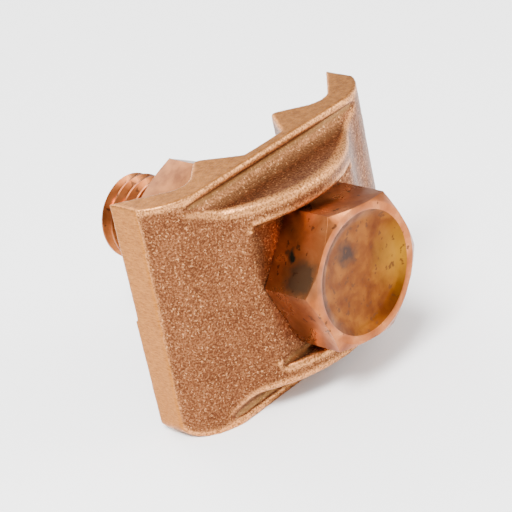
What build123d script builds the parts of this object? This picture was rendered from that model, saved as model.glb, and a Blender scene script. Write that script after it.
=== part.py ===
from build123d import *
import math
import os

# Earth rod clamp: a cast saddle with its hexagon bolt, spring washer and nut, in millimetres.
# The saddle stands on its flat lower end, with +Z up. The bolt points along +Y and its head is
# on the -Y side. X = 0 is the middle of the saddle, and Y = 0 is half way along the bolt.

os.makedirs("parts", exist_ok=True)

# Half-inch hardware with 13 threads to the inch
bolt_r = 12.7 / 2
bolt_length = 38.1
end_chamfer = 1.2
across_flats = 19.05
hex_r = across_flats / math.sqrt(3)
hex_chamfer_r = 9.75
head_height = 7.94
head_turn = 8.0
dish_r = 8.5
dish_depth = 0.8
nut_height = 11.1
nut_turn = 30.0
washer_r = 11.0
washer_height = 3.2
washer_slit = 1.6

# Saddle section. Depths are measured back from the seat, the face under the bolt head.
height = 34.6
top_half = 21.5
foot_half = 22.0
pad_y = -3.0
front_y = 3.6
front_half = 14.0
tip_half = 22.4
tip_front_y = 10.3
tip_back_y = 13.7
groove_half = 13.8
groove_y = 5.9
leg_half = 7.6
leg_y = 11.1
gap_half = 3.7
gap_y = 5.4
front_blend_r = 8.0
groove_r = 3.5
leg_r = 0.9
gap_r = 0.8

# Ribs, slot and coves
slot_half = 10.5
rib_to_rim = 3.8
rib_half = height / 2 - rib_to_rim
rib_draft = 0.3
cove_r = 2.2
cove_depth = 0.6
lip_width = 0.9
rib_round = 0.9
slot_round = 0.5
foot_corner_r = 2.0

# Clearances
hole_clearance = 1.1
bolt_offset = 0.9
seat_gap = 0.03
bore_clearance = 0.07
washer_clearance = 0.25
grip_gap = 1.5

# Places that follow from the sizes
seat_y = (head_height - bolt_length) / 2 + seat_gap
middle_z = height / 2
washer_y = leg_y + grip_gap
nut_y = washer_y + washer_height + seat_gap


def across_bolt(distance):
    """The plane square to the bolt at this distance behind the seat, looking out along +Y."""
    return Plane((bolt_offset, seat_y + distance, middle_z), x_dir=(1, 0, 0), z_dir=(0, 1, 0))


def hexagon(distance, depth, turn, both_ends):
    """A hexagon bar behind this distance, with its corners turned to a 30 degree cone."""
    with BuildSketch(across_bolt(distance)) as flats:
        RegularPolygon(hex_r, 6, rotation=turn)
    extrude(flats.sketch, amount=depth)
    drop = math.copysign((hex_r - hex_chamfer_r) * math.tan(math.radians(30)), depth)
    near_end = [(hex_chamfer_r, 0), (hex_r, drop)] if both_ends else [(hex_r, 0)]
    far_end = [(hex_r, depth - drop), (hex_chamfer_r, depth)]
    with BuildSketch(Plane((bolt_offset, seat_y + distance, middle_z))) as cone:
        with BuildLine():
            Polyline((0, 0), *near_end, *far_end, (0, depth), close=True)
        make_face()
    revolve(cone.sketch, axis=Axis((bolt_offset, seat_y, middle_z), (0, 1, 0)), mode=Mode.INTERSECT)


def corners(sketch, half):
    """The sketch's corners this far to either side of the middle."""
    return sketch.vertices().filter_by(lambda corner: math.isclose(abs(corner.X), half, abs_tol=0.01))


def rib_edges(body, half):
    """The long front edges of the ribs, this far above and below the bolt."""
    def on_rib(edge):
        middle = edge.center()
        level = abs(middle.Z - middle_z)
        return middle.Y < seat_y and half - 0.1 < level < half + rib_draft and edge.length > slot_half
    return body.edges().filter_by(on_rib)


# The saddle is one bronze casting with a section that stays the same from foot to top. Its front
# swells into a pad and its wings sweep back. Behind are two legs, one on each side of the bolt,
# and a V groove for a conductor between each leg and wing.
with BuildPart() as clamp_body:
    with BuildSketch(Plane((0, seat_y, 0))) as section:
        with BuildLine():
            TangentArc((0, pad_y), (front_half, front_y), tangent=(1, 0))
            TangentArc((front_half, front_y), (tip_half, tip_front_y), tangent=(1, 0))
            Polyline((tip_half, tip_front_y), (tip_half, tip_back_y), (groove_half, groove_y),
                     (leg_half, leg_y), (gap_half, gap_y), (0, gap_y))
            mirror(about=Plane.YZ)
        make_face()
        fillet(corners(section, front_half), front_blend_r)
        fillet(corners(section, groove_half), groove_r)
        fillet(corners(section, leg_half), leg_r)
        fillet(corners(section, gap_half), gap_r)
    extrude(amount=height)

    # The ends of the wings are ground flat, a little wider apart at the foot than at the top.
    with BuildSketch(Plane.XZ) as outline:
        with BuildLine():
            Polyline((-foot_half, 0), (foot_half, 0), (top_half, height), (-top_half, height),
                     close=True)
        make_face()
        fillet(corners(outline, foot_half), foot_corner_r)
    extrude(amount=bolt_length, both=True, mode=Mode.INTERSECT)

    # A cove runs along the top and the foot of the pad and leaves a thin lip at the rim.
    with BuildSketch(Plane((0, seat_y, middle_z), x_dir=(0, 1, 0), z_dir=(1, 0, 0))):
        with BuildLine():
            wall = Line((pad_y, rib_half), (front_y + cove_depth - cove_r, rib_half + rib_draft))
            hollow = TangentArc(wall @ 1, (front_y + cove_depth, wall.position_at(1).Y + cove_r),
                                tangent=(1, 0))
            Polyline(hollow @ 1, (front_y, middle_z - lip_width), (front_y, height),
                     (2 * pad_y, height), (2 * pad_y, rib_half), (pad_y, rib_half))
        make_face()
        mirror(about=Plane.XZ)
    extrude(amount=tip_half, both=True, mode=Mode.SUBTRACT)
    rib_wall = rib_half - slot_half
    fillet(rib_edges(clamp_body, rib_half), min(rib_round, 0.6 * rib_wall))

    # The slot between the two ribs holds the head, so that one spanner is enough.
    with BuildSketch(Plane((0, seat_y, middle_z), x_dir=(1, 0, 0), z_dir=(0, -1, 0))) as slot:
        Rectangle(2 * tip_half, 2 * slot_half)
    extrude(amount=-2 * pad_y, mode=Mode.SUBTRACT)
    fillet(rib_edges(clamp_body, slot_half), min(slot_round, 0.3 * rib_wall))
    with Locations(across_bolt(0)):
        Hole(bolt_r + hole_clearance)
clamp_body.part.label = "clamp_body"

# The bolt's head has a dished face. The shank is plain here.
with BuildPart() as hex_bolt:
    hexagon(-seat_gap, -head_height, head_turn, both_ends=False)
    with BuildSketch(across_bolt(-seat_gap - head_height)):
        Circle(dish_r)
    extrude(amount=dish_depth, taper=40, mode=Mode.SUBTRACT)
    with BuildSketch(across_bolt(-seat_gap)):
        Circle(bolt_r)
    extrude(amount=bolt_length)
    chamfer(hex_bolt.faces().sort_by(Axis.Y)[-1].edges(), end_chamfer)
hex_bolt.part.label = "hex_bolt"

# The spring washer is one coil of square wire with a slanting cut.
with BuildPart() as spring_washer:
    with BuildSketch(across_bolt(washer_y)):
        Circle(washer_r)
        Circle(bolt_r + washer_clearance, mode=Mode.SUBTRACT)
    extrude(amount=washer_height)
    with BuildSketch(Plane((bolt_offset, seat_y + washer_y, middle_z))):
        with BuildLine():
            Polyline((-washer_slit, 0), (0, 0), (washer_slit, washer_height), (0, washer_height),
                     close=True)
        make_face()
    extrude(amount=-height, mode=Mode.SUBTRACT)
spring_washer.part.label = "spring_washer"

with BuildPart() as hex_nut:
    hexagon(nut_y, nut_height, nut_turn, both_ends=True)
    with Locations(across_bolt(nut_y)):
        Hole(bolt_r + bore_clearance)
hex_nut.part.label = "hex_nut"

for piece in (clamp_body, hex_bolt, spring_washer, hex_nut):
    export_step(piece.part, f"parts/{piece.part.label}.step")
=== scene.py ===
# %% [markdown]
# # An earth rod clamp
# A bronze saddle clamps bare conductors to an earth rod. One hexagon bolt runs through it, with
# a spring washer and a nut behind. This lesson dresses the four solids of the CAD model: it gives
# the casting its soft sand-cast skin, cuts real threads, and paints four bronze finishes.
# The frame comes first, because every piece is placed by the boxes of the CAD nodes.

# %% Load the frame
import math
import bmesh
import bpy
from mathutils import Matrix, Vector, noise


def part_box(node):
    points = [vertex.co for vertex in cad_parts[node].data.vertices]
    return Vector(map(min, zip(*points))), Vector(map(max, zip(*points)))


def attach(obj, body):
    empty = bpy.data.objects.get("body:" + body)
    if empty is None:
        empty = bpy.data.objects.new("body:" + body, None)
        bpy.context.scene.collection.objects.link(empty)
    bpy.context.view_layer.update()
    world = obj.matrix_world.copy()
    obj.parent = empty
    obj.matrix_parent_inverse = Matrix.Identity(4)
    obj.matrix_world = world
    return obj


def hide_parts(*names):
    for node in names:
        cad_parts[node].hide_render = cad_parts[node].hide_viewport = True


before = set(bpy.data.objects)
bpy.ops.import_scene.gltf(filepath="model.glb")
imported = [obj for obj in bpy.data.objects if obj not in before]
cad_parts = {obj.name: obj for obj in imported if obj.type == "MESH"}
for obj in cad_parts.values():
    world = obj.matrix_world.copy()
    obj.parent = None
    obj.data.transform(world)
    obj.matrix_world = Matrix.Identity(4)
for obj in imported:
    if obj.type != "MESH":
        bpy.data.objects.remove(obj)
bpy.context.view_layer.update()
MM = 0.001

# %% [markdown]
# ## Sizes taken from the CAD boxes
# The bolt and the nut are half-inch hardware, 13 threads to the inch. The bolt's box gives its
# two ends, and the nut's box gives its thickness and the line of the bolt's axis. Only sizes
# that a box can't tell, such as the thread's pitch, are written here.

# %% Measure the fasteners
bolt_low, bolt_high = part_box("hex_bolt")
nut_low, nut_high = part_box("hex_nut")
washer_low, washer_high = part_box("spring_washer")
saddle_low, saddle_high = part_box("clamp_body")
bolt_x = (nut_low.x + nut_high.x) / 2
bolt_z = (nut_low.z + nut_high.z) / 2
shank_r = 6.35 * MM
pitch = 25.4 * MM / 13
across_flats = nut_high.x - nut_low.x
hex_r = across_flats / math.sqrt(3)
head_height = 7.94 * MM
seat_y = bolt_low.y + head_height
print(f"bolt axis x {bolt_x / MM:.2f}, z {bolt_z / MM:.2f}, across flats {across_flats / MM:.2f} mm")

# %% [markdown]
# ## Small helpers
# Each piece is shaped lying along the bolt's own axis, the Y axis through the origin, and then
# moved into place in its mesh, so the object itself stays at the origin. A bmesh becomes an
# object in one place, so that every piece gets its name in the same way.

# %% From bmesh to object
def make_object(name, shape):
    """Turn a bmesh into an object at the origin, with its faces pointing outwards."""
    bmesh.ops.recalc_face_normals(shape, faces=shape.faces)
    mesh = bpy.data.meshes.new(name)
    shape.to_mesh(mesh)
    shape.free()
    made = bpy.data.objects.new(name, mesh)
    bpy.context.scene.collection.objects.link(made)
    return made


def move_to_bolt(made):
    """Carry a finished mesh from the origin to the bolt's axis."""
    made.data.transform(Matrix.Translation((bolt_x, 0, bolt_z)))


def settle(made):
    """Replace an object's mesh by what its modifiers make of it."""
    graph = bpy.context.evaluated_depsgraph_get()
    finished = bpy.data.meshes.new_from_object(made.evaluated_get(graph))
    made.modifiers.clear()
    made.data = finished


def combine(made, other, operation):
    """Cut, keep or join one solid by another, and remove the other."""
    step = made.modifiers.new("Combine", "BOOLEAN")
    step.operation = operation
    step.solver = "EXACT"
    step.object = other
    settle(made)
    bpy.data.objects.remove(other)


def soften_edges(made, width, segments, angle):
    """Round the edges that bend by more than this angle. Width in mm, angle in degrees."""
    soften = made.modifiers.new("Soft edges", "BEVEL")
    soften.width = width * MM
    soften.segments = segments
    soften.limit_method = "ANGLE"
    soften.angle_limit = math.radians(angle)
    settle(made)


print("helpers: make_object, move_to_bolt, settle, combine, soften_edges")

# %% [markdown]
# ## Turned solids and hexagon bars
# A hexagon head is forged as a hexagon and then turned, which leaves curved corners where the
# 30 degree cone meets the flats. The same two steps work here: a hexagon prism, and a profile
# spun round the axis, of which only the shared volume is kept. Six bevelled corners would be
# quicker, but wouldn't give those curves.

# %% Spin a profile, extrude a hexagon
def turned(name, profile, steps=96):
    """Spin (radius, y) points round the Y axis into a closed solid."""
    shape = bmesh.new()
    points = [shape.verts.new((radius, y, 0)) for radius, y in profile]
    edges = [shape.edges.new(pair) for pair in zip(points, points[1:])]
    bmesh.ops.spin(shape, geom=points + edges, cent=(0, 0, 0), axis=(0, 1, 0), dvec=(0, 0, 0),
                   angle=math.tau, steps=steps, use_merge=True)
    bmesh.ops.remove_doubles(shape, verts=shape.verts, dist=1e-7)
    return make_object(name, shape)


def hexagon_bar(name, start_y, end_y, turn):
    """A hexagon bar along Y, turned by this angle about it."""
    shape = bmesh.new()
    ring = bmesh.ops.create_circle(shape, cap_ends=True, segments=6, radius=hex_r)
    stand = Matrix.Rotation(math.radians(90), 4, "X")
    bmesh.ops.transform(shape, matrix=stand, verts=ring["verts"])
    aim = Matrix.Rotation(turn, 4, "Y") @ Matrix.Rotation(math.radians(30), 4, "Y")
    bmesh.ops.transform(shape, matrix=Matrix.Translation((0, start_y, 0)) @ aim, verts=shape.verts)
    grown = bmesh.ops.extrude_face_region(shape, geom=shape.faces[:])
    new_corners = [item for item in grown["geom"] if isinstance(item, bmesh.types.BMVert)]
    bmesh.ops.translate(shape, vec=(0, end_y - start_y, 0), verts=new_corners)
    return make_object(name, shape)


# %% [markdown]
# ## The thread
# A thread is one V profile carried round and along the axis. Spin does exactly that when it is
# given a step along Y: a profile one pitch long meets its own copy after each turn, and merging
# doubles closes the seam. The ends of such a helix are ragged, so two planes cut them square and
# the holes are filled. A texture could only suggest the crests, and the end of the bolt shows
# their outline.

# %% Spin a threaded rod
def threaded_rod(name, crest_r, start_y, end_y, steps=64):
    """A threaded rod along Y. Its helix keeps one phase, so bolt and nut fit each other."""
    depth = 0.58 * pitch
    root_r = crest_r - depth
    first_turn = math.floor(start_y / pitch) - 1
    turns = math.ceil((end_y - start_y) / pitch) + 3
    outline = [(root_r, 0.0), (root_r + 0.18 * depth, 0.1), (crest_r, 0.42), (crest_r, 0.58),
               (root_r + 0.18 * depth, 0.9), (root_r, 1.0)]
    shape = bmesh.new()
    points = [shape.verts.new((radius, (first_turn + share) * pitch, 0)) for radius, share in outline]
    edges = [shape.edges.new(pair) for pair in zip(points, points[1:])]
    bmesh.ops.spin(shape, geom=points + edges, cent=(0, 0, 0), axis=(0, 1, 0),
                   dvec=(0, pitch / steps, 0), angle=math.tau * turns, steps=steps * turns)
    bmesh.ops.remove_doubles(shape, verts=shape.verts, dist=1e-7)
    for y, out in ((start_y, -1), (end_y, 1)):
        cut = bmesh.ops.bisect_plane(shape, geom=shape.verts[:] + shape.edges[:] + shape.faces[:],
                                     plane_co=(0, y, 0), plane_no=(0, out, 0), clear_outer=True)
        rim = [item for item in cut["geom_cut"] if isinstance(item, bmesh.types.BMEdge)]
        bmesh.ops.edgeloop_fill(shape, edges=rim)
    bmesh.ops.triangulate(shape, faces=[face for face in shape.faces if len(face.verts) > 4])
    return make_object(name, shape)


# %% [markdown]
# ## The bolt
# The head is cold forged: full corners under the face, a rim, and a shallow dish inside it. Its
# underside is flat, and 6 mm of plain shank run through the saddle before the thread begins.
# The head is turned a few degrees, as far as the slot lets it.

# %% Forge the head and join the shank
head_turn = math.radians(8)
dish_r = 8.5 * MM
face_y = bolt_low.y
plain_end_y = seat_y + 6.4 * MM
overlap = 0.5 * MM
dish_floor_y = face_y + 0.85 * MM
beyond_corners_r = hex_r + 0.1 * MM
hex_bolt = hexagon_bar("hex_bolt_dressed", face_y, seat_y, head_turn)
head_cone = turned("head_cone", [
    (0, dish_floor_y), (dish_r - 1.6 * MM, dish_floor_y),
    (dish_r - 0.7 * MM, face_y + 0.62 * MM), (dish_r, face_y + 0.1 * MM),
    (dish_r + 0.3 * MM, face_y), (9.6 * MM, face_y), (beyond_corners_r, face_y + 0.85 * MM),
    (beyond_corners_r, seat_y + 1 * MM), (0, seat_y + 1 * MM)])
combine(hex_bolt, head_cone, "INTERSECT")
soften_edges(hex_bolt, 0.22, 3, 25)

shank_end = turned("shank_end", [
    (0, seat_y - overlap), (shank_r, seat_y - overlap), (shank_r, bolt_high.y - 1.3 * MM),
    (shank_r - 1.2 * MM, bolt_high.y), (0, bolt_high.y)])
shank = threaded_rod("shank", shank_r, plain_end_y, bolt_high.y + 1 * MM)
combine(shank, shank_end, "INTERSECT")
thread_depth = 1.1 * MM
plain = turned("plain", [(0, seat_y - overlap), (shank_r, seat_y - overlap), (shank_r, plain_end_y),
                         (shank_r - thread_depth, plain_end_y + thread_depth),
                         (0, plain_end_y + thread_depth)], steps=64)
combine(shank, plain, "UNION")
combine(hex_bolt, shank, "UNION")
print("bolt:", len(hex_bolt.data.polygons), "faces")

# %% [markdown]
# ## The nut
# Both faces of the nut carry the 30 degree cone, and a countersink leads the thread in. The same
# rod, 0.08 mm larger, cuts the inner thread, so it meshes with the bolt at every turn.

# %% Turn the nut and cut its thread
cone_r = 9.4 * MM
cone_drop = (hex_r - cone_r) * math.tan(math.radians(30))
hex_nut = hexagon_bar("hex_nut_dressed", nut_low.y, nut_high.y, math.radians(30))
nut_cone = turned("nut_cone", [
    (0, nut_low.y), (cone_r, nut_low.y), (beyond_corners_r, nut_low.y + cone_drop),
    (beyond_corners_r, nut_high.y - cone_drop), (cone_r, nut_high.y), (0, nut_high.y)])
combine(hex_nut, nut_cone, "INTERSECT")
soften_edges(hex_nut, 0.22, 3, 25)
tap = threaded_rod("tap", shank_r + 0.08 * MM, nut_low.y - 2 * MM, nut_high.y + 2 * MM)
combine(hex_nut, tap, "DIFFERENCE")
for y, inward in ((nut_low.y, 1), (nut_high.y, -1)):
    sink = turned("sink", [(0, y - inward * 1 * MM), (shank_r + 1.4 * MM, y - inward * 1 * MM),
                           (shank_r - thread_depth, y + inward * 1.5 * MM),
                           (0, y + inward * 1.5 * MM)])
    combine(hex_nut, sink, "DIFFERENCE")
print("nut:", len(hex_nut.data.polygons), "faces")

# %% [markdown]
# ## The spring washer
# It is one coil of square wire with a slanting cut, pressed flat against the nut. A square
# profile spun almost all the way round makes the coil. Leaning the two end faces gives the cut.

# %% Coil the washer
washer_r = (washer_high.x - washer_low.x) / 2
washer_bore_r = shank_r + 0.25 * MM
coil = bmesh.new()
corner_points = [coil.verts.new((radius, y, 0)) for radius, y in (
    (washer_bore_r, washer_low.y), (washer_r, washer_low.y),
    (washer_r, washer_high.y), (washer_bore_r, washer_high.y))]
square = coil.faces.new(corner_points)
opening = math.radians(9)
coiled = bmesh.ops.spin(coil, geom=[square], cent=(0, 0, 0), axis=(0, 1, 0), dvec=(0, 0, 0),
                        angle=math.tau - opening, steps=88)
last_corners = [item for item in coiled["geom_last"] if isinstance(item, bmesh.types.BMVert)]
leaning = [point for point in (*square.verts, *last_corners)
           if abs(point.co.y - washer_high.y) < 0.1 * MM]
lean = Matrix.Rotation(math.radians(-8), 3, "Y")
bmesh.ops.rotate(coil, cent=(0, 0, 0), matrix=lean, verts=leaning)
to_the_foot = Matrix.Rotation(math.radians(94), 3, "Y")
bmesh.ops.rotate(coil, cent=(0, 0, 0), matrix=to_the_foot, verts=coil.verts)
spring_washer = make_object("spring_washer_dressed", coil)
soften_edges(spring_washer, 0.3, 2, 60)
print("washer:", len(spring_washer.data.polygons), "faces")

# %% [markdown]
# ## The casting
# Sand casting leaves no crisp edge: every corner is as round as the sand was coarse, and the
# skin is grainy all over. A voxel remesh of the CAD solid rounds all its edges alike, and noise
# then moves the skin in and out by a few hundredths of a millimetre. The two ends of the wings
# and the upper and lower faces were ground, so they stay flat. The slot's floor has no edge where
# it runs out into the wings, so that place is smoothed more. Two values on each vertex, how far
# it is ground and how sharply it bends, are kept for the shape and for the finish: ridges get a
# painted highlight, and hollows get a brighter olive colour that is a painted reflection.

# %% Remesh the solid
grain_size = 0.45 * MM
grain_depth = 0.035 * MM
skin_voxel = 0.25 * MM
wing_end_depth = 1.17 * MM
skin = bmesh.new()
skin.from_mesh(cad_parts["clamp_body"].data)
bmesh.ops.remove_doubles(skin, verts=skin.verts, dist=1e-6)
clamp_body = make_object("clamp_body_dressed", skin)
remesh = clamp_body.modifiers.new("Cast skin", "REMESH")
remesh.mode = "VOXEL"
remesh.voxel_size = skin_voxel
smooth = clamp_body.modifiers.new("Soft sand edges", "SMOOTH")
smooth.factor = 0.5
smooth.iterations = 4
settle(clamp_body)
print("remeshed casting:", len(clamp_body.data.vertices), "vertices")


# %% [markdown]
# Two questions are asked of each vertex. The ground faces are the outermost flat ones, so its
# place and normal answer the first. The second is answered by its neighbours: on a ridge they
# lie below the plane of its normal, and in a hollow above it.

# %% Ask each vertex
def ground_share(vertex):
    """1 on a ground face and 0 on the cast skin."""
    on_top = saddle_high.z - vertex.co.z < skin_voxel and vertex.normal.z > 0.9
    on_foot = vertex.co.z - saddle_low.z < skin_voxel and vertex.normal.z < -0.9
    at_wing_end = saddle_high.x - abs(vertex.co.x) < wing_end_depth and abs(vertex.normal.x) > 0.93
    return 1.0 if on_top or on_foot or at_wing_end else 0.0


def bends(shape, rounds=5):
    """How each vertex bends: 0.5 when flat, 1 on a ball of 0.5 mm radius and 0 in such a cup."""
    values = {}
    for vertex in shape.verts:
        steps = [edge.other_vert(vertex).co - vertex.co for edge in vertex.link_edges]
        drop = -sum(step.dot(vertex.normal) for step in steps) / sum(step.length_squared for step in steps)
        values[vertex.index] = min(1.0, max(0.0, 0.5 + drop * 0.5 * MM))
    for _ in range(rounds):
        values = {vertex.index: (values[vertex.index] + sum(
            values[edge.other_vert(vertex).index] for edge in vertex.link_edges)) / (
                1 + len(vertex.link_edges)) for vertex in shape.verts}
    return values


# %% [markdown]
# The run-out is smoothed before the vertices are asked, and counts as flat, so that neither painted
# highlight nor painted reflection is drawn there. The grain comes last, or every grain would count as a
# ridge.

# %% Smooth the run-out and grain the skin
run_out_reach = 3.2 * MM
between_ribs = 9.6 * MM
skin = bmesh.new()
skin.from_mesh(clamp_body.data)
ground_layer = skin.verts.layers.float.new("ground")
bend_layer = skin.verts.layers.float.new("bend")
skin.normal_update()
floor_end = max(abs(vertex.co.x) for vertex in skin.verts
                if abs(vertex.co.y - seat_y) < 0.1 * MM and abs(vertex.co.z - bolt_z) < 5 * MM)
print(f"the slot's floor ends {floor_end / MM:.1f} mm from the middle")
run_out = [vertex for vertex in skin.verts
           if vertex.normal.y < -0.5 and abs(abs(vertex.co.x) - floor_end) < run_out_reach
           and abs(vertex.co.z - bolt_z) < between_ribs]
for _ in range(150):
    bmesh.ops.smooth_vert(skin, verts=run_out, factor=0.5,
                          use_axis_x=True, use_axis_y=True, use_axis_z=True)
skin.normal_update()
skin.verts.index_update()
bend = bends(skin)
for vertex in skin.verts:
    vertex[bend_layer] = bend[vertex.index]
    vertex[ground_layer] = ground_share(vertex)
# The run-out counts as flat: no painted highlight and no painted reflection there.
for vertex in run_out:
    vertex[bend_layer] = 0.5
for vertex in skin.verts:
    rough = noise.fractal(vertex.co / grain_size, 1.0, 2.0, 2)
    slow = noise.noise(vertex.co / (6 * grain_size))
    depth = grain_depth * (rough + 0.8 * slow) * (1 - 0.9 * vertex[ground_layer])
    vertex.co += vertex.normal * depth
for face in skin.faces:
    face.smooth = True
skin.to_mesh(clamp_body.data)
skin.free()
print("casting:", len(clamp_body.data.polygons), "faces")

# %% [markdown]
# ## Seating
# Each finished piece rides on its body and stands in for the CAD node of the same kind. The edge
# count is a quick test: a closed solid has no edge that lies between fewer than two faces.

# %% Seat the pieces on their bodies
def open_edges(made):
    """How many edges of a mesh don't lie between exactly two faces."""
    shape = bmesh.new()
    shape.from_mesh(made.data)
    count = sum(not edge.is_manifold for edge in shape.edges)
    shape.free()
    return count


for dressed, node, body in ((hex_bolt, "hex_bolt", "bolt"), (hex_nut, "hex_nut", "nut"),
                            (spring_washer, "spring_washer", "washer"),
                            (clamp_body, "clamp_body", "saddle")):
    if node != "clamp_body":
        move_to_bolt(dressed)
        for polygon in dressed.data.polygons:
            polygon.use_smooth = True
        dressed.data.set_sharp_from_angle(angle=math.radians(35))
    dressed.data.materials.clear()
    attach(dressed, body)
    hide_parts(node)
    print(dressed.name, "on", body, "with", open_edges(dressed), "open edges")

# %% [markdown]
# ## Four bronze finishes
# All the pieces are copper alloys, so each is a metal with a coloured reflection. What sets them
# apart is the surface: the casting scatters light in grains, the head is rubbed smooth and
# stained, its dish is tarnished, and the nut is paler. The patterns read Object coordinates, so
# they stay with the piece. Every finish needs the same few node steps, so those come first.

# %% Shared shader steps
class Finish:
    """A metal material with a few short calls for its nodes."""

    def __init__(self, name, roughness):
        self.material = bpy.data.materials.new(name)
        self.material.use_nodes = True
        self.nodes = self.material.node_tree.nodes
        self.links = self.material.node_tree.links
        self.shader = self.nodes["Principled BSDF"]
        self.shader.inputs["Metallic"].default_value = 1.0
        self.shader.inputs["Roughness"].default_value = roughness
        self.place = self.nodes.new("ShaderNodeTexCoord").outputs["Object"]

    def grain(self, scale, detail=3.0, stretch=(1, 1, 1), distortion=0.0):
        """A noise pattern. The scale is in grains a metre."""
        mapping = self.nodes.new("ShaderNodeMapping")
        mapping.inputs["Scale"].default_value = stretch
        self.links.new(self.place, mapping.inputs["Vector"])
        pattern = self.nodes.new("ShaderNodeTexNoise")
        pattern.inputs["Scale"].default_value = scale
        pattern.inputs["Detail"].default_value = detail
        pattern.inputs["Distortion"].default_value = distortion
        self.links.new(mapping.outputs["Vector"], pattern.inputs["Vector"])
        return pattern.outputs["Fac"]

    def ramp(self, value, *stops):
        """Colours or greys along a value, given as (place, colour) pairs."""
        ramp = self.nodes.new("ShaderNodeValToRGB")
        points = ramp.color_ramp.elements
        while len(points) < len(stops):
            points.new(0.5)
        for point, (where, colour) in zip(points, stops):
            point.position = where
            point.color = (colour,) * 3 + (1,) if isinstance(colour, float) else (*colour, 1)
        self.links.new(value, ramp.inputs["Fac"])
        return ramp.outputs["Color"]

    def mix(self, share, below, above):
        """Two colours mixed by a value. In a colour mix, sockets 0, 6 and 7 are share, A and B."""
        mix = self.nodes.new("ShaderNodeMix")
        mix.data_type = "RGBA"
        for number, value in ((0, share), (6, below), (7, above)):
            if isinstance(value, bpy.types.NodeSocket):
                self.links.new(value, mix.inputs[number])
            else:
                mix.inputs[number].default_value = value if number == 0 else (*value, 1)
        return mix.outputs[2]

    def stain(self, centre, radius, soft, waver=1.2 * MM):
        """1 inside a ball on the piece, fading to 0 over its soft, wavering edge."""
        wave = self.nodes.new("ShaderNodeTexNoise")
        wave.inputs["Scale"].default_value = 700
        self.links.new(self.place, wave.inputs["Vector"])
        shift = self.nodes.new("ShaderNodeVectorMath")
        shift.operation = "MULTIPLY_ADD"
        shift.inputs[1].default_value = (2 * waver,) * 3
        self.links.new(wave.outputs["Color"], shift.inputs[0])
        self.links.new(self.place, shift.inputs[2])
        distance = self.nodes.new("ShaderNodeVectorMath")
        distance.operation = "DISTANCE"
        distance.inputs[1].default_value = Vector(centre) * MM + Vector((waver,) * 3)
        self.links.new(shift.outputs["Vector"], distance.inputs[0])
        fade = self.nodes.new("ShaderNodeMapRange")
        fade.inputs["From Min"].default_value = (radius + soft) * MM
        fade.inputs["From Max"].default_value = (radius - soft) * MM
        self.links.new(distance.outputs["Value"], fade.inputs["Value"])
        return fade.outputs["Result"]

    def vertex_value(self, name):
        """A value that the mesh keeps on its vertices."""
        reader = self.nodes.new("ShaderNodeAttribute")
        reader.attribute_name = name
        return reader.outputs["Fac"]

    def bump(self, height, distance, strength=1.0):
        """Raise the surface a little by a pattern."""
        bump = self.nodes.new("ShaderNodeBump")
        bump.inputs["Distance"].default_value = distance
        bump.inputs["Strength"].default_value = strength
        self.links.new(height, bump.inputs["Height"])
        self.links.new(bump.outputs["Normal"], self.shader.inputs["Normal"])

    def wear(self, colour, roughness=None):
        """Feed the finished colour, and a roughness where it varies, to the shader."""
        self.links.new(colour, self.shader.inputs["Base Color"])
        if roughness is not None:
            self.links.new(roughness, self.shader.inputs["Roughness"])


def on_head(across, behind, above):
    """A place on the bolt's head in mm, measured from the middle of its face."""
    return Vector((bolt_x, face_y, bolt_z)) / MM + Vector((across, behind, above))


print("finish steps: grain, ramp, mix, stain, vertex_value, bump, wear")

# %% [markdown]
# Sand-cast bronze is brown in its pores and brighter on its grains. A finer pattern paints single
# glints, small painted highlights. Ridges get a painted highlight, strongest where the grain stands
# up, hollows a brighter olive painted reflection, and the ground faces get a yellow colour with short
# scratches.

# %% Sand-cast bronze
cast = Finish("sand_cast_bronze", 0.5)
fine = cast.grain(3900, 3.0)
broad = cast.grain(300, 2.0)
sand = cast.ramp(fine, (0.34, (0.057, 0.019, 0.008)), (0.5, (0.134, 0.048, 0.020)),
                 (0.64, (0.28, 0.110, 0.043)))
clouds = cast.ramp(broad, (0.35, (0.100, 0.033, 0.012)), (0.65, (0.205, 0.080, 0.031)))
sand = cast.mix(0.3, sand, clouds)
bend_value = cast.vertex_value("bend")
# Painted reflection: the hollows get a brighter olive colour.
sand = cast.mix(cast.ramp(bend_value, (0.40, 0.65), (0.48, 0.0)), sand, (0.27, 0.140, 0.050))
# Painted highlight on the ridges, broken up by the grain.
painted_highlight_share = cast.mix(cast.ramp(bend_value, (0.513, 0.0), (0.58, 1.0)), (0, 0, 0),
                        cast.ramp(fine, (0.38, 0.25), (0.58, 0.95)))
sand = cast.mix(painted_highlight_share, sand, (0.68, 0.30, 0.100))
# Painted glints: small bright specks of painted highlight.
painted_glint = cast.ramp(cast.grain(3300, 2.0, distortion=0.5), (0.61, 0.0), (0.69, 0.65))
sand = cast.mix(painted_glint, sand, (0.66, 0.33, 0.14))
filed = cast.grain(1500, 3.0, stretch=(1, 1, 4))
filed_colour = cast.ramp(filed, (0.3, (0.255, 0.090, 0.016)), (0.7, (0.46, 0.180, 0.036)))
cast_colour = cast.mix(cast.vertex_value("ground"), sand, filed_colour)
cast.bump(cast.grain(4300, 2.0), 0.06 * MM, 0.6)
cast.wear(cast_colour, cast.ramp(fine, (0.3, 0.56), (0.7, 0.36)))
clamp_body.data.materials.append(cast.material)
print(cast.material.name, "has", len(cast.nodes), "nodes")

# %% [markdown]
# The bolt was handled and is smoother. It carries two stains on one flat of its head, a broad
# brown one and a small dark one, and fine specks all over.

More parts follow.
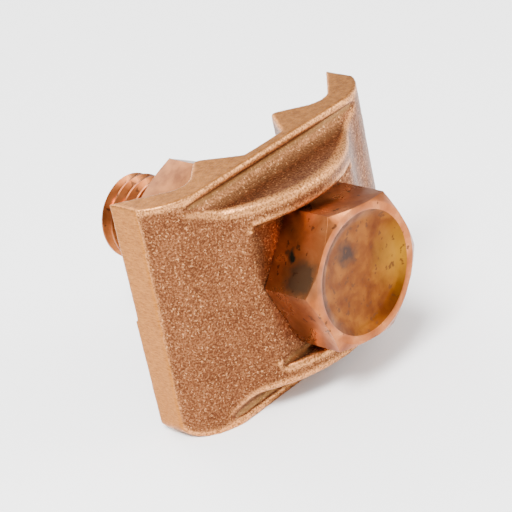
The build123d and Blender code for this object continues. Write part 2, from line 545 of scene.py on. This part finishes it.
# %% Rubbed bronze of the bolt
rubbed = Finish("rubbed_bolt_bronze", 0.28)
cloud = rubbed.grain(300, 5.0, distortion=0.4)
bolt_colour = rubbed.ramp(cloud, (0.3, (0.19, 0.048, 0.012)), (0.5, (0.31, 0.092, 0.026)),
                          (0.7, (0.43, 0.155, 0.052)))
brown_stain = rubbed.stain(on_head(-9.5, 2.42, 3.6), 2.6, 0.9)
bolt_colour = rubbed.mix(brown_stain, bolt_colour, (0.10, 0.05, 0.025))
dark_stain = rubbed.stain(on_head(-7.8, 5.02, 5.5), 0.7, 0.3)
bolt_colour = rubbed.mix(dark_stain, bolt_colour, (0.015, 0.02, 0.015))
speck = rubbed.ramp(rubbed.grain(900, 2.0), (0.65, 0.0), (0.69, 0.8))
bolt_colour = rubbed.mix(speck, bolt_colour, (0.06, 0.025, 0.012))
rubbed.bump(rubbed.grain(1800, 3.0), 0.02 * MM, 0.3)
rubbed.wear(bolt_colour, rubbed.ramp(cloud, (0.3, 0.38), (0.7, 0.24)))
hex_bolt.data.materials.append(rubbed.material)
print(rubbed.material.name, "has", len(rubbed.nodes), "nodes")

# %% [markdown]
# The dish was never rubbed, so it keeps a brown tarnish, and it is yellower and brighter towards its right
# side. It is part of the bolt's mesh, so the bolt gets a second slot, and the faces inside the rim are
# given to it.

# %% The tarnished dish in the head
tarnished = Finish("tarnished_dish_bronze", 0.3)
drift = tarnished.grain(380, 4.0, distortion=0.3)
dish_colour = tarnished.ramp(drift, (0.32, (0.082, 0.018, 0.002)), (0.5, (0.125, 0.033, 0.003)),
                             (0.68, (0.180, 0.055, 0.005)))
# The dish is yellower and brighter towards its right side.
yellow_side = tarnished.stain(on_head(7.5, 0.42, -0.7), 3.0, 3.0)
dish_colour = tarnished.mix(yellow_side, dish_colour, (0.25, 0.110, 0.006))
black_spot = tarnished.stain(on_head(-2.1, 0.42, 3.6), 1.7, 0.8)
dish_colour = tarnished.mix(black_spot, dish_colour, (0.035, 0.016, 0.010))
tarnish_speck = tarnished.ramp(tarnished.grain(950, 2.0), (0.60, 0.0), (0.65, 0.8))
dish_colour = tarnished.mix(tarnish_speck, dish_colour, (0.07, 0.025, 0.008))
tarnished.bump(tarnished.grain(1400, 3.0), 0.03 * MM, 0.3)
tarnished.wear(dish_colour, tarnished.ramp(drift, (0.3, 0.44), (0.7, 0.3)))
hex_bolt.data.materials.append(tarnished.material)
in_dish = 0
for polygon in hex_bolt.data.polygons:
    across = Vector((polygon.center.x - bolt_x, polygon.center.z - bolt_z)).length
    polygon.material_index = int(across < dish_r - 0.05 * MM and polygon.center.y < face_y + 1.2 * MM)
    in_dish += polygon.material_index
print("faces in the dish:", in_dish)

# %% [markdown]
# The nut and the washer are of a paler bronze, and plain.

# %% Paler bronze of the nut and the washer
pale = Finish("pale_nut_bronze", 0.36)
pale_cloud = pale.grain(500, 3.0)
pale_colour = pale.ramp(pale_cloud, (0.3, (0.110, 0.034, 0.009)), (0.7, (0.235, 0.085, 0.024)))
pale.bump(pale.grain(1800, 3.0), 0.02 * MM, 0.4)
pale.wear(pale_colour)
for piece in (hex_nut, spring_washer):
    piece.data.materials.append(pale.material)
print(pale.material.name, "has", len(pale.nodes), "nodes")

# %% [markdown]
# ## Floor, light and camera
# Metal shows what stands round it, so the room matters as much as the finish. A pale floor under
# a tent that is brightest overhead gives the upright faces something darker to mirror, and three
# soft areas shape the forms.

# %% Floor
floor_shape = bmesh.new()
bmesh.ops.create_grid(floor_shape, x_segments=1, y_segments=1, size=3)
floor = make_object("floor", floor_shape)
floor_paint = bpy.data.materials.new("pale_floor")
floor_paint.use_nodes = True
floor_shader = floor_paint.node_tree.nodes["Principled BSDF"]
floor_shader.inputs["Base Color"].default_value = (0.95, 0.95, 0.95, 1)
floor_shader.inputs["Roughness"].default_value = 0.9
floor.data.materials.append(floor_paint)
print("floor:", len(floor.data.polygons), "face")

# %% World and lamps
world = bpy.data.worlds.new("light tent")
bpy.context.scene.world = world
world.use_nodes = True
tent = world.node_tree.nodes["Background"]
tent.inputs["Color"].default_value = (1, 1, 1, 1)
direction = world.node_tree.nodes.new("ShaderNodeTexCoord")
height = world.node_tree.nodes.new("ShaderNodeSeparateXYZ")
glow = world.node_tree.nodes.new("ShaderNodeMapRange")
glow.inputs["To Min"].default_value = 0.65
glow.inputs["To Max"].default_value = 1.6
world.node_tree.links.new(direction.outputs["Generated"], height.inputs["Vector"])
world.node_tree.links.new(height.outputs["Z"], glow.inputs["Value"])
world.node_tree.links.new(glow.outputs["Result"], tent.inputs["Strength"])


def add_lamp(name, place, power, size):
    """A soft area lamp that looks at the middle of the clamp."""
    lamp = bpy.data.objects.new(name, bpy.data.lights.new(name, "AREA"))
    lamp.data.energy = power
    lamp.data.size = size
    lamp.location = place
    aim = Vector((0, 0, bolt_z)) - lamp.location
    lamp.rotation_euler = aim.to_track_quat("-Z", "Y").to_euler()
    bpy.context.scene.collection.objects.link(lamp)


add_lamp("key", Vector((-0.25, -0.15, 0.45)), 8, 0.2)
add_lamp("fill", Vector((0.35, -0.4, 0.25)), 3, 0.35)
add_lamp("back", Vector((0.1, 0.45, 0.35)), 3, 0.3)
print("lamps: key, fill, back")

# %% [markdown]
# A long lens from the upper left shows the head, a wing and the ridge at once. The camera is
# placed from the bolt's seat and rolled, as one holds it over a bench.

# %% Camera
camera_turn = math.radians(-41.70)
camera_height = math.radians(26.635)
camera_roll = math.radians(-12.377)
camera_place = Vector((-163.79, seat_y / MM - 172.28, bolt_z / MM + 122.36)) * MM
back = Vector((math.sin(camera_turn) * math.cos(camera_height),
               -math.cos(camera_turn) * math.cos(camera_height), math.sin(camera_height)))
level = Vector((math.cos(camera_turn), math.sin(camera_turn), 0))
upright = back.cross(level)
right = math.cos(camera_roll) * level + math.sin(camera_roll) * upright
up = back.cross(right)
camera = bpy.data.objects.new("camera", bpy.data.cameras.new("camera"))
camera.data.sensor_width = 36
camera.data.lens = 140.55
camera.matrix_world = Matrix.Translation(camera_place) @ Matrix((right, up, back)).transposed().to_4x4()
bpy.context.scene.collection.objects.link(camera)
bpy.context.scene.camera = camera
print(f"camera: {camera.data.lens} mm lens, {camera_place.length:.2f} m away")
